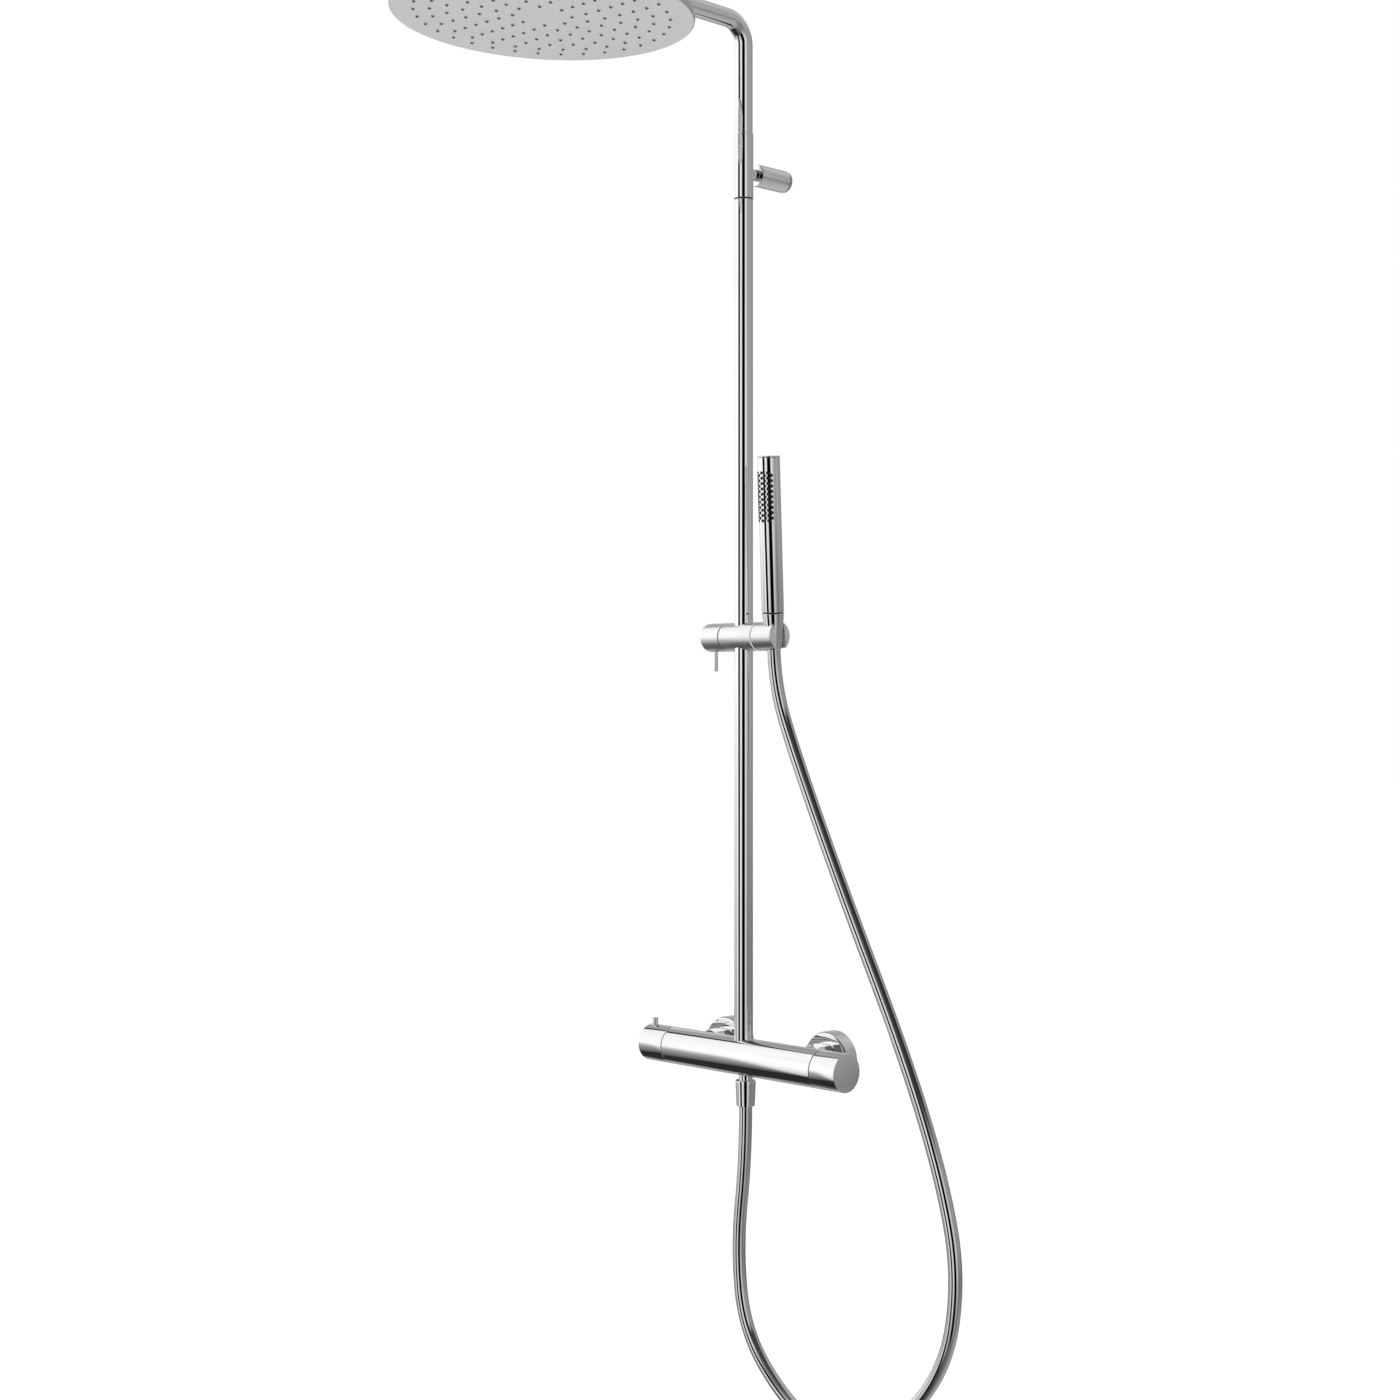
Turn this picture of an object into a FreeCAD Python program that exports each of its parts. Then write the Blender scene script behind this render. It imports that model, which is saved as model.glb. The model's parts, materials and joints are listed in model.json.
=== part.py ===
import FreeCAD, Part
import math
import os

# Thermostatic rainfall shower column, millimetres.
# Origin on the wall plane midway between the two inlets, at the height of the mixer bar.
# +Y points into the wall, +X to the user's right, +Z up.

V = FreeCAD.Vector
X, Y, Z = V(1, 0, 0), V(0, 1, 0), V(0, 0, 1)

# ---------------------------------------------------------------- driving dimensions
WALL_TO_AXIS = 64.0          # wall plane to the centre of bar and riser
INLET_HALF = 75.0            # half of the 150 mm inlet spacing

BAR_R = 20.0
BODY_X = (-106.5, 111.5)     # ends of the fixed mixer body
KNOB_X = (-143.5, 146.4)     # outer ends of the two knobs
KNOB_GAP = 0.8
KNOB_HOLLOW_R, KNOB_HUB_R = 17.5, 7.0
SPINDLE_R = 4.0
CARTRIDGE_R = 14.8
DIVERTER_PIN_R, DIVERTER_PIN_X = 3.15, -137.0

NUT_CORNER_R, NUT_FACE_R = 19.05, 16.9    # union nut over its corners, and its chamfered faces
NUT_LEN, NUT_CHAMFER = 20.5, 1.6
ESCUTCHEON_R, ESCUTCHEON_H = 29.5, 18.5

RISER_R, RISER_BORE = 10.0, 9.0
RISER_Z = (12.0, 910.3)
COLLAR_R, COLLAR_Z = 10.3, (911.7, 980.2)
O_RING_Z = (920.0, 935.0)
ARM_R, ARM_BORE, ARM_Z = 9.6, 8.6, 1099.0
ARM_REACH = 278.6
ARM_BENDS = (25.0, 22.0)

BRACKET_Z = 939.7
BRACKET_R = 11.7
BRACKET_Y = (18.5, 61.6)     # cover sleeve, measured behind the riser axis

HEAD_R, HEAD_T = 148.8, 8.0
BALL_R = 9.0
BALL_TO_FACE = 18.0
BALL_Z = 1062.4
HEAD_NORMAL = V(0.031, 0.023, 1.0)
NOZZLE_RINGS = ((125.0, 33), (109.0, 28), (93.0, 24), (77.0, 20), (61.0, 16), (45.0, 12), (29.0, 8))
NOZZLE_R = 1.15

SLIDER_Z = 446.0
SLIDER_R = 15.25
SLIDER_X = (-23.3, 22.9)
LOCK_X = (-52.9, -24.4)
HOLDER_X = (24.6, 53.5)
LOCK_PIN_R, LOCK_PIN_X = 2.15, -41.6
LOCK_SPINDLE_R = 3.7
HOLDER_SCREW_R = 3.0
FORK_X = 44.0
FORK_SLOT = 15.0

HAND_LEAN = V(0.0766, -0.1205, 1.0)
SEAM_H = 1.4                 # black ring between the cone and the handset
SEAM_ABOVE = 24.25           # handset seam above the slider axis, along the handset
HAND_R, HAND_BORE, HAND_LEN = 11.6, 9.6, 163.6
CONE_LEN, CONE_TIP_R = 38.0, 8.1
CONE_GAP = 0.15

HOSE_R, HOSE_BORE = 7.0, 4.25
OUTLET_X = 3.0
OUTLET_NUT_Z = (-24.5, -51.7)

AXIS_Y = -WALL_TO_AXIS


# ---------------------------------------------------------------- helpers
def at(x, y, z):
    """Point given from the riser axis at bar height."""
    return V(x, AXIS_Y + y, z)


def cyl(r, base, axis, length):
    return Part.makeCylinder(r, length, base, axis)


def ring(r_out, r_in, base, axis, length):
    return cyl(r_out, base, axis, length).cut(cyl(r_in, base, axis, length))


def lathe(points):
    """Solid of revolution about Z from (radius, height) corners."""
    corners = [V(r, 0, h) for r, h in points]
    face = Part.Face(Part.makePolygon(corners + corners[:1]))
    return face.revolve(V(0, 0, 0), Z, 360)


def turn_z_to(shape, axis, origin):
    shape = shape.copy()
    shape.Placement = FreeCAD.Placement(origin, FreeCAD.Rotation(Z, axis))
    return shape


def rounded_end(shape, radius, where):
    """Round the circular edges whose centre passes the given test."""
    edges = [e for e in shape.Edges if hasattr(e.Curve, "Center") and where(e.Curve.Center, e.Curve.Radius)]
    return shape.makeFillet(radius, edges)


def joined(shapes):
    return shapes[0].multiFuse(shapes[1:]).removeSplitter()


def sweep(points, radius, bends):
    """Round bar of straight runs joined by tangent arcs; returns solid, wire and radii."""
    edges = []
    start = points[0]
    for i, bend in enumerate(bends):
        before, corner, after = points[i], points[i + 1], points[i + 2]
        d0 = (corner - before).normalize()
        d1 = (after - corner).normalize()
        half = d0.getAngle(d1) / 2
        back = bend * math.tan(half)
        p0 = corner - d0 * back
        p1 = corner + d1 * back
        inward = (d1 - d0).normalize()
        mid = corner + inward * (bend / math.cos(half) - bend)
        edges.append(Part.LineSegment(start, p0).toShape())
        edges.append(Part.Arc(p0, mid, p1).toShape())
        start = p1
    edges.append(Part.LineSegment(start, points[-1]).toShape())
    wire = Part.Wire(edges)
    d = (points[1] - points[0]).normalize()
    profile = Part.Wire(Part.makeCircle(radius, points[0], d))
    return wire.makePipeShell([profile], True, False), wire


def hand(shape):
    """Put a part lathed about Z on the leaning axis of the handset, zero at its seam."""
    return turn_z_to(shape, HAND_AXIS, SEAM)


def head(shape):
    """Put a part made about the ball centre on the tilted rain head."""
    return turn_z_to(shape, HEAD_AXIS, BALL)


HAND_AXIS = V(HAND_LEAN).normalize()
FORK = at(FORK_X, 0, SLIDER_Z)
SEAM = FORK + HAND_AXIS * SEAM_ABOVE
HEAD_AXIS = V(HEAD_NORMAL).normalize()
BALL = at(0, -ARM_REACH, BALL_Z)

nodes = {}

# ---------------------------------------------------------------- mixer bar
body_len = BODY_X[1] - BODY_X[0]
bar = cyl(BAR_R, at(BODY_X[0], 0, 0), X, body_len)
for side in (-1, 1):
    inlet = at(side * INLET_HALF, 0, 0)
    bar = bar.fuse(cyl(12.0, inlet, Y, 28.0))
    bar = bar.fuse(cyl(13.0, inlet + Y * 27.8, Y, 2.2))
hollows = [
    cyl(15.0, at(BODY_X[0], 0, 0), X, 40.5),
    cyl(15.0, at(BODY_X[1] - 50, 0, 0), X, 50.0),
    cyl(7.0, at(-70, 0, 0), X, 140.0),
    cyl(RISER_R + 0.03, at(0, 0, RISER_Z[0]), Z, 20.0),
    cyl(6.0, at(0, 0, 0), Z, 14.0),
    cyl(4.5, at(OUTLET_X, 0, -14), Z, 14.0),
    cyl(8.3, at(OUTLET_X, 0, -25), Z, 13.0),
]
for side in (-1, 1):
    hollows.append(cyl(7.6, at(side * INLET_HALF, 4, 0), Y, 30.0))
nodes["mixer_body"] = bar.cut(Part.makeCompound(hollows)).removeSplitter()

nodes["diverter_cartridge"] = joined([
    cyl(CARTRIDGE_R, at(-104, 0, 0), X, 36.0),
    cyl(8.0, at(-112, 0, 0), X, 9.0),
])
nodes["thermostatic_cartridge"] = joined([
    cyl(CARTRIDGE_R, at(70, 0, 0), X, 39.0),
    cyl(11.0, at(62, 0, 0), X, 9.0),
    cyl(8.0, at(108, 0, 0), X, 9.0),
])
nodes["cartridge_nuts"] = Part.makeCompound([
    ring(14.9, 8.2, at(-106.4, 0, 0), X, 2.3),
    ring(14.9, 8.2, at(109.1, 0, 0), X, 2.3),
])
nodes["temperature_stop_ring"] = ring(16.0, 9.0, at(BODY_X[1], 0, 0), X, 2.5)

union_nuts, washers, valves = [], [], []
for side, name in ((-1, "left"), (1, "right")):
    inlet = V(side * INLET_HALF, 0, 0)
    corners = [math.radians(60 * k) for k in range(7)]
    hexagon = Part.Face(Part.makePolygon([
        V(NUT_CORNER_R * math.cos(a), NUT_CORNER_R * math.sin(a), 0) for a in corners
    ])).extrude(Z * NUT_LEN)
    hexagon = hexagon.common(lathe([
        (0, 0), (NUT_FACE_R, 0), (19.2, NUT_CHAMFER), (19.2, NUT_LEN - NUT_CHAMFER),
        (NUT_FACE_R, NUT_LEN), (0, NUT_LEN),
    ]))
    nut = turn_z_to(hexagon, Y, inlet - Y * 40.0)
    nut = nut.cut(cyl(12.2, inlet - Y * 41, Y, 10)).cut(cyl(13.2, inlet - Y * 36.5, Y, 20))
    union_nuts.append(nut)
    washers.append(ring(13.0, 8.0, inlet - Y * 34.0, Y, 2.0))
    valves.append(ring(7.5, 4.0, inlet - Y * 48.6, Y, 14.1))
    union = joined([
        cyl(13.2, inlet - Y * 32.0, Y, 18.0),
        cyl(11.5, inlet - Y * 14.5, Y, 14.5),
        cyl(10.48, inlet - Y * 0.5, Y, 14.5),
    ]).cut(cyl(7.5, inlet - Y * 33, Y, 50))
    nodes["wall_union_" + name] = union
    cup = lathe([
        (13.6, ESCUTCHEON_H), (27.0, ESCUTCHEON_H), (28.8, 17.8), (ESCUTCHEON_R, 16.0), (ESCUTCHEON_R, 0),
        (27.9, 0), (27.9, 16.9), (13.6, 16.9),
    ])
    nodes["escutcheon_" + name] = turn_z_to(cup, -Y, inlet)
nodes["union_nuts"] = Part.makeCompound(union_nuts)
nodes["inlet_washers"] = Part.makeCompound(washers)
nodes["check_valves"] = Part.makeCompound(valves)

# knobs: a cup on a hub, each with its own spindle
knob_cup = 32.4
nodes["diverter_knob"] = rounded_end(
    cyl(BAR_R, at(KNOB_X[0], 0, 0), X, BODY_X[0] - KNOB_GAP - KNOB_X[0]),
    1.2, lambda c, r: abs(c.x - KNOB_X[0]) < 0.1,
)
knob_pocket = ring(KNOB_HOLLOW_R, KNOB_HUB_R, at(BODY_X[0] - knob_cup, 0, 0), X, 40.0)
knob_pocket = knob_pocket.fuse(cyl(9.0, at(-115, 0, 0), X, 10)).fuse(cyl(SPINDLE_R, at(-127, 0, 0), X, 20))
pin_hole = cyl(DIVERTER_PIN_R, at(DIVERTER_PIN_X, 0, 12), Z, 20)
nodes["diverter_knob"] = nodes["diverter_knob"].cut(knob_pocket).cut(pin_hole)
nodes["diverter_pin"] = rounded_end(
    cyl(DIVERTER_PIN_R, at(DIVERTER_PIN_X, 0, 12), Z, 15.2), 0.5, lambda c, r: c.z > 27.0)
nodes["diverter_spindle"] = cyl(SPINDLE_R, at(-127, 0, 0), X, 14.7)

right_knob = cyl(BAR_R, at(BODY_X[1] + KNOB_GAP, 0, 0), X, KNOB_X[1] - BODY_X[1] - KNOB_GAP)
right_knob = rounded_end(right_knob, 0.5, lambda c, r: abs(c.x - KNOB_X[1]) < 0.1)
knob_pocket = ring(KNOB_HOLLOW_R, KNOB_HUB_R, at(110, 0, 0), X, 32.0)
knob_pocket = knob_pocket.fuse(cyl(9.0, at(110, 0, 0), X, 10)).fuse(cyl(SPINDLE_R, at(110, 0, 0), X, 21))
nodes["temperature_knob"] = right_knob.cut(knob_pocket)
nodes["temperature_spindle"] = cyl(SPINDLE_R, at(117.3, 0, 0), X, 13.7)

# ---------------------------------------------------------------- outlet and lower hose end
nodes["outlet_nipple"] = joined([
    cyl(8.3, at(OUTLET_X, 0, -19.9), Z, 7.9),
    cyl(7.3, at(OUTLET_X, 0, -27), Z, 7.2),
    cyl(8.3, at(OUTLET_X, 0, -36), Z, 9.5),
]).cut(cyl(4.5, at(OUTLET_X, 0, -37), Z, 30))
nut_top, nut_low = OUTLET_NUT_Z
nut_profile = [
    (8.3, nut_top), (10.3, nut_top), (10.75, nut_top - 0.6), (10.75, nut_top - 3), (9.8, nut_low + 1.4),
    (9.8, nut_low + 0.4), (9.4, nut_low), (4.3, nut_low), (4.3, nut_low + 9), (8.3, nut_low + 9),
]
nodes["hose_nut"] = lathe(nut_profile).translate(at(OUTLET_X, 0, 0))
nodes["outlet_washer"] = ring(8.2, 4.5, at(OUTLET_X, 0, -38), Z, 2.0)
nodes["hose_tail_lower"] = joined([
    cyl(8.2, at(OUTLET_X, 0, -40), Z, 2.0),
    cyl(4.2, at(OUTLET_X, 0, -66), Z, 27.0),
]).cut(cyl(3.0, at(OUTLET_X, 0, -67), Z, 40))

# ---------------------------------------------------------------- riser, collar and wall bracket
nodes["riser_tube"] = ring(RISER_R, RISER_BORE, at(0, 0, RISER_Z[0]), Z, RISER_Z[1] - RISER_Z[0])
nodes["seam_ring"] = ring(9.8, 8.6, at(0, 0, RISER_Z[1]), Z, COLLAR_Z[0] - RISER_Z[1])
insert = joined([
    cyl(RISER_BORE, at(0, 0, 880), Z, RISER_Z[1] - 880),
    cyl(8.5, at(0, 0, 900), Z, 45),
])
insert = insert.cut(cyl(6.3, at(0, 0, 870), Z, 90))
grooves = [ring(9.0, 7.4, at(0, 0, z), Z, 2.2) for z in O_RING_Z]
nodes["swivel_insert"] = insert.cut(Part.makeCompound(grooves))
nodes["swivel_o_rings"] = Part.makeCompound([
    ring(8.55, 7.45, at(0, 0, z + 0.1), Z, 2.0) for z in O_RING_Z
])
collar = cyl(COLLAR_R, at(0, 0, COLLAR_Z[0]), Z, COLLAR_Z[1] - COLLAR_Z[0])
collar = collar.cut(cyl(8.6, at(0, 0, 905), Z, 20)).cut(cyl(ARM_R + 0.05, at(0, 0, 912.9), Z, 80))
nodes["bracket_collar"] = collar
spigot = joined([
    cyl(6.0, at(0, 6, BRACKET_Z), Y, 18.0),
    cyl(9.0, at(0, BRACKET_Y[0] + 3.0, BRACKET_Z), Y, 2.5),
])
nodes["bracket_spigot"] = spigot.cut(cyl(COLLAR_R, at(0, 0, 900), Z, 100))
sleeve_len = BRACKET_Y[1] - BRACKET_Y[0]
sleeve = lathe([
    (6.0, 0), (11.1, 0), (BRACKET_R, 0.6), (BRACKET_R, sleeve_len - 1.6),
    (11.2, sleeve_len - 0.5), (10.4, sleeve_len), (10.4, 3.0), (6.0, 3.0),
])
nodes["bracket_sleeve"] = turn_z_to(sleeve, Y, at(0, BRACKET_Y[0], BRACKET_Z))
plate = lathe([
    (2.6, 0), (11.0, 0), (11.0, 2.2), (10.35, 2.2), (10.35, 12.0), (6.5, 12.0), (6.5, 4.0), (2.6, 4.0),
])
nodes["bracket_wall_plate"] = turn_z_to(plate, -Y, V(0, 0, BRACKET_Z))

# ---------------------------------------------------------------- overhead arm and ball joint
arm_points = [at(0, 0, 913.2), at(0, 0, ARM_Z), at(0, -ARM_REACH, ARM_Z), at(0, -ARM_REACH, BALL_Z + 11)]
arm_outer, _ = sweep(arm_points, ARM_R, ARM_BENDS)
arm_inner, _ = sweep(arm_points, ARM_BORE, ARM_BENDS)
nodes["overhead_arm"] = arm_outer.cut(arm_inner)
nodes["swivel_ball"] = joined([
    Part.makeSphere(BALL_R, BALL),
    cyl(5.0, BALL, Z, 12.0),
    cyl(9.5, BALL + Z * 9.0, Z, 2.0),
    cyl(ARM_BORE, BALL + Z * 10.5, Z, 4.0),
]).cut(cyl(2.5, BALL - Z * 12, Z, 30))

seat = cyl(10.4, V(0, 0, -0.9), Z, 1.8).cut(Part.makeSphere(BALL_R + 0.06))
nodes["ball_seat_ring"] = turn_z_to(seat, Z, BALL)

# ---------------------------------------------------------------- rain head, made about the ball centre
face_z = -BALL_TO_FACE
top_z = face_z + HEAD_T
ball_room = Part.makeSphere(BALL_R + 0.35)
cap = lathe([
    (0, -3.4), (11.2, -3.4), (11.2, 3.2), (0, 3.2),
])
nut = lathe([(0, -6.3), (13.3, -6.3), (13.8, -5.8), (13.8, 4.2), (13.0, 5.0), (0, 5.0)])
nut = nut.cut(ball_room).cut(cap).cut(cyl(12.3, V(0, 0, -7), Z, 3.6))
nodes["head_nut"] = head(nut)

shell = lathe([
    (0, -3.6), (12.3, -3.6), (12.3, -6.5), (14.0, -6.5), (15.5, top_z + 0.8), (17.5, top_z), (147.3, top_z),
    (HEAD_R, top_z - 1.5), (HEAD_R, face_z + 0.8), (HEAD_R - 0.8, face_z), (147.6, face_z),
    (147.6, top_z - 1.4), (0, top_z - 1.4),
])
shell = shell.cut(ball_room).cut(cyl(3.5, V(0, 0, -15), Z, 10))
nodes["head_shell"] = head(shell)

nozzle_spots = []
for radius, count in NOZZLE_RINGS:
    for k in range(count):
        angle = 2 * math.pi * k / count
        nozzle_spots.append(V(radius * math.cos(angle), radius * math.sin(angle), 0))
holes = [cyl(NOZZLE_R, p + Z * (face_z - 1), Z, 3.0) for p in nozzle_spots]
face = cyl(147.5, V(0, 0, face_z), Z, 1.2)
nodes["head_face"] = head(face.cut(Part.makeCompound(holes)))
nubs = [cyl(NOZZLE_R, p + Z * (face_z - 0.6), Z, 2.0) for p in nozzle_spots]
mat = cyl(138.0, V(0, 0, face_z + 1.2), Z, 1.2)
nodes["nozzle_mat"] = head(mat.multiFuse(nubs))

# ---------------------------------------------------------------- slider and its lock
slider = cyl(SLIDER_R, at(SLIDER_X[0], 0, SLIDER_Z), X, SLIDER_X[1] - SLIDER_X[0])
slider_cuts = [
    cyl(RISER_R + 0.12, at(0, 0, SLIDER_Z - 20), Z, 40),
    cyl(12.0, at(0, 0, SLIDER_Z - 8), Z, 16),
    cyl(4.0, at(-30, 0, SLIDER_Z), X, 22),
    cyl(HOLDER_SCREW_R, at(15, 0, SLIDER_Z), X, 12),
]
for cavity in slider_cuts:
    slider = slider.cut(cavity)
nodes["slider_body"] = slider
bush = ring(12.0, RISER_R + 0.06, at(0, 0, SLIDER_Z - 8), Z, 16)
bush = bush.cut(cyl(4.2, at(-20, 0, SLIDER_Z), X, 15))
nodes["slider_bush"] = bush.cut(Part.makeBox(3, 6, 20, at(-1.5, 8, SLIDER_Z - 10)))
pad = cyl(3.9, at(-15, 0, SLIDER_Z), X, 9)
nodes["clamp_pad"] = pad.cut(cyl(RISER_R + 0.06, at(0, 0, SLIDER_Z - 10), Z, 20))
nodes["slider_ring"] = ring(15.1, HOLDER_SCREW_R, at(SLIDER_X[1], 0, SLIDER_Z), X, 1.2)
nodes["holder_screw"] = joined([
    cyl(HOLDER_SCREW_R, at(15, 0, SLIDER_Z), X, 14.5),
    cyl(5.0, at(29.3, 0, SLIDER_Z), X, 2.4),
])

knob = cyl(SLIDER_R, at(LOCK_X[0], 0, SLIDER_Z), X, LOCK_X[1] - LOCK_X[0])
knob = rounded_end(knob, 5.0, lambda c, r: abs(c.x - LOCK_X[0]) < 0.1)
knob = knob.cut(cyl(LOCK_SPINDLE_R, at(-38, 0, SLIDER_Z), X, 20))
nodes["lock_knob"] = knob.cut(cyl(LOCK_PIN_R, at(LOCK_PIN_X, 0, SLIDER_Z - 20), Z, 12))
nodes["lock_spindle"] = cyl(LOCK_SPINDLE_R, at(-38, 0, SLIDER_Z), X, 22.7)
nodes["lock_pin"] = rounded_end(
    cyl(LOCK_PIN_R, at(LOCK_PIN_X, 0, SLIDER_Z - 36.2), Z, 28.2), 0.4, lambda c, r: c.z < SLIDER_Z - 36)

# ---------------------------------------------------------------- holder fork
holder = cyl(SLIDER_R, at(HOLDER_X[0], 0, SLIDER_Z), X, HOLDER_X[1] - HOLDER_X[0])
holder = rounded_end(holder, 1.6, lambda c, r: abs(c.x - HOLDER_X[1]) < 0.1)


def cone_r(t):
    """Cone radius of the hose nut at a height t above the handset seam."""
    return HAND_R + (HAND_R - CONE_TIP_R) * t / CONE_LEN


bore = Part.makeCone(cone_r(-50) + CONE_GAP, cone_r(6) + CONE_GAP, 56, V(0, 0, -50), Z)
slot = Part.makeBox(30, FORK_SLOT, 56, V(0, -FORK_SLOT / 2, -50))
holder = holder.cut(hand(bore)).cut(hand(slot))
holder = holder.cut(cyl(3.06, at(20, 0, SLIDER_Z), X, 12)).cut(cyl(5.3, at(29, 0, SLIDER_Z), X, 9))
nodes["holder_body"] = holder

# ---------------------------------------------------------------- hose cone nut and handset
nodes["hose_cone"] = hand(lathe([
    (4.3, -CONE_LEN), (CONE_TIP_R - 0.5, -CONE_LEN), (cone_r(-37.5), -37.5), (cone_r(-0.4), -0.4),
    (HAND_R - 0.4, 0), (8.0, 0), (8.0, -20), (4.3, -20),
]))
nodes["hose_tail_upper"] = hand(lathe([
    (3.0, -50), (4.2, -50), (4.2, -20), (7.8, -20), (7.8, -18), (3.0, -18),
]))
nodes["cone_washer"] = hand(lathe([(4.5, -18), (7.8, -18), (7.8, -16), (4.5, -16)]))
nodes["handset_connector"] = hand(lathe([
    (5.0, -16), (8.0, -16), (8.0, SEAM_H), (HAND_BORE, SEAM_H), (HAND_BORE, 18), (5.0, 18),
]))
nodes["handset_seam_ring"] = hand(lathe([(8.0, 0), (10.9, 0), (10.9, SEAM_H), (8.0, SEAM_H)]))
nodes["handset_end_cap"] = hand(lathe([
    (0, 158), (HAND_BORE, 158), (HAND_BORE, 162), (HAND_R, 162), (HAND_R, HAND_LEN - 0.4),
    (HAND_R - 0.4, HAND_LEN), (0, HAND_LEN),
]))
nodes["handset_core"] = hand(lathe([(5.0, 18), (8.5, 18), (8.5, 158), (5.0, 158)]))

spray_holes, spray_nubs = [], []
for column in range(7):
    turn = math.radians(-90 + 18 * (column - 3))
    outward = V(math.cos(turn), math.sin(turn), 0)
    odd = column % 2
    for row in range(10 if odd else 9):
        t = HAND_LEN - 17.0 - 5.5 * (row + (0 if odd else 0.5))
        spray_holes.append(cyl(NOZZLE_R, outward * 8 + Z * t, outward, 6))
        spray_nubs.append(cyl(NOZZLE_R, outward * 9.0 + Z * t, outward, 3.1))
tube = lathe([(HAND_BORE, SEAM_H), (HAND_R, SEAM_H), (HAND_R, 162), (HAND_BORE, 162)])
nodes["handset_body"] = hand(tube.cut(Part.makeCompound(spray_holes)))
strip = Part.makeCylinder(HAND_BORE, 62, V(0, 0, HAND_LEN - 75.5), Z, 128)
strip = strip.cut(cyl(8.5, V(0, 0, HAND_LEN - 77), Z, 66))
strip.rotate(V(0, 0, 0), Z, -154)
nodes["handset_nozzles"] = hand(strip.multiFuse(spray_nubs))

# ---------------------------------------------------------------- hose
cone_end = SEAM - HAND_AXIS * CONE_LEN
hose_points = [
    cone_end,
    cone_end - HAND_AXIS * 38.5,
    at(63.2, 10, 326.2),
    at(132.8, 10, 182.0),
    at(220.3, 7, 19.2),
    at(268.9, 4, -93.9),
    at(289.6, 2, -180.6),
    at(275.3, 0, -272.9),
    at(206.1, 0, -349.2),
    at(134.8, 0, -380.1),
    at(63.4, 0, -354.4),
    at(1.6, 0, -292.2),
    at(-9.7, 0, -202.8),
    at(OUTLET_X, 0, -105.8),
    at(OUTLET_X, 0, nut_low),
]
hose_bends = []
for i in range(1, len(hose_points) - 1):
    a, b, c = hose_points[i - 1:i + 2]
    shorter = min((b - a).Length, (c - b).Length)
    hose_bends.append(0.45 * shorter / math.tan((b - a).getAngle(c - b) / 2))
hose_outer, hose_wire = sweep(hose_points, HOSE_R, hose_bends)
hose_inner, _ = sweep(hose_points, HOSE_BORE, hose_bends)
nodes["hose_tube"] = hose_outer.cut(hose_inner)
print("hose bend radii", [round(r) for r in hose_bends])
print("hose length %.1f volume ratio %.4f" % (
    hose_wire.Length, hose_outer.Volume / (hose_wire.Length * math.pi * HOSE_R ** 2)))

# ---------------------------------------------------------------- export
os.makedirs("parts", exist_ok=True)
for name, shape in nodes.items():
    if not shape.isValid():
        print("invalid", name)
    print("%-24s solids %d volume %.1f" % (name, len(shape.Solids), shape.Volume))
    shape.exportStep("parts/" + name + ".step")
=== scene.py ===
import json
import math

import bmesh
import bpy
from mathutils import Matrix, Vector


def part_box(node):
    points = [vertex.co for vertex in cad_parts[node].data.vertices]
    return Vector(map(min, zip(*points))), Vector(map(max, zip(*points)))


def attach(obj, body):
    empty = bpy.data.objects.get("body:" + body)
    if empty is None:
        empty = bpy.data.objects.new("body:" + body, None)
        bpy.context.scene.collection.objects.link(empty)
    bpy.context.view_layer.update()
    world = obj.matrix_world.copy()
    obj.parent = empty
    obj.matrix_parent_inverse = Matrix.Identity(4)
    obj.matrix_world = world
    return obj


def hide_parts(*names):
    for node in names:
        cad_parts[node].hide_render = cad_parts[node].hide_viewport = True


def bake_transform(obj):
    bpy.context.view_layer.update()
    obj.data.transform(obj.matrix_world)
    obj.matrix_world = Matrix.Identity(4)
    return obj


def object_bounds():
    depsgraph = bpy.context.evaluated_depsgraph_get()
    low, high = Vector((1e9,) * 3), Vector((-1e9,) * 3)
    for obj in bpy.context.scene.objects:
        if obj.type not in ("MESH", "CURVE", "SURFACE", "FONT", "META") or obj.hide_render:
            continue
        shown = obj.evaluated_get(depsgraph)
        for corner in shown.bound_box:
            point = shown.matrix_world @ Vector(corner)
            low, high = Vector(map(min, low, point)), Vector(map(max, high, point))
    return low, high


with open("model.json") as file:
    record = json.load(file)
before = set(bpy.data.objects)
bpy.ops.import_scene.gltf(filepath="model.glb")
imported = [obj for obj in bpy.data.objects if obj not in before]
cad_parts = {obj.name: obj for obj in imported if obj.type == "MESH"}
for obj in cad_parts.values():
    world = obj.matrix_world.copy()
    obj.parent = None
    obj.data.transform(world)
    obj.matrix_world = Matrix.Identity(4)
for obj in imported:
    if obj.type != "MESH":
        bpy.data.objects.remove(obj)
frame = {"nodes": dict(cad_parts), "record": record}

cad_low, cad_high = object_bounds()
scene = bpy.context.scene

# ------------------------------------------------------------------ places read from the frame
MM = 0.001
riser_low, riser_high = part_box("riser_tube")
AXIS_X = (riser_low.x + riser_high.x) / 2
AXIS_Y = (riser_low.y + riser_high.y) / 2
slider_low, slider_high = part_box("slider_body")
SLIDER_Z = (slider_low.z + slider_high.z) / 2
joints = {j["name"]: j for j in frame["record"]["behaviour"]["joints"]}
LEAN = Vector(joints["handset_lift"]["axis"]).normalized()
BALL = Vector(joints["head_tilt_sideways"]["pos_m"])
HEAD_UP = (0.031, 0.023, 1.0)    # the rain head leans a little off level
FORK_X = 0.044                   # where the handset's axis crosses the slider's axis
FORK_TO_SEAM = 0.02425           # from there up to the seam between cone and handset
HEAD_NORMAL = Vector(HEAD_UP).normalized()
FORK = Vector((FORK_X, AXIS_Y, SLIDER_Z))
SEAM = FORK + LEAN * FORK_TO_SEAM

X, Y, Z = Vector((1, 0, 0)), Vector((0, 1, 0)), Vector((0, 0, 1))

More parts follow.
